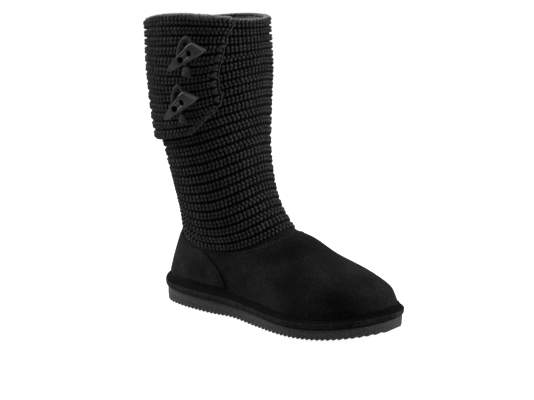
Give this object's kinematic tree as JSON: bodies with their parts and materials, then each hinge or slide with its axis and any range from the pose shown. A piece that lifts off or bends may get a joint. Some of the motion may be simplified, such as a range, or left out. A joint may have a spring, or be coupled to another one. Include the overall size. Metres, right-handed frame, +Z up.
{
  "type": "sweater boot",
  "caption": "Right sweater boot: suede foot with heel counter and rolled band on a foam outsole, and a ribbed knit shaft with a turned flap held by horn toggles.",
  "frame": {"origin": "on the floor, at the middle of the flat spot under the heel, 35 mm ahead of the heel's back edge", "axes": "+X towards the toe, +Y towards the inner side of the foot, -Y towards the outer side with the flap and toggles, +Z up"},
  "size_m": [0.2917, 0.1187, 0.2905],
  "materials": {
    "outsole_foam": "matt speckled foam rubber",
    "band_suede": "rolled suede",
    "upper_suede": "black suede",
    "insole_fleece": "grey fleece",
    "counter_suede": "black suede",
    "shaft_knit": "ribbed charcoal knit",
    "flap_knit": "ribbed charcoal knit",
    "toggle_upper_horn": "semi-gloss dark horn",
    "toggle_lower_horn": "semi-gloss dark horn",
    "loop_upper_cord": "soft suede thong",
    "loop_lower_cord": "soft suede thong"
  },
  "bodies": {
    "root": {"outsole": "outsole_foam", "foxing_band": "band_suede", "upper": "upper_suede", "insole": "insole_fleece", "heel_counter": "counter_suede", "knit_shaft": "shaft_knit", "shaft_flap": "flap_knit", "toggle_upper": "toggle_upper_horn", "toggle_lower": "toggle_lower_horn", "loop_upper": "loop_upper_cord", "loop_lower": "loop_lower_cord"}
  },
  "joints": []
}
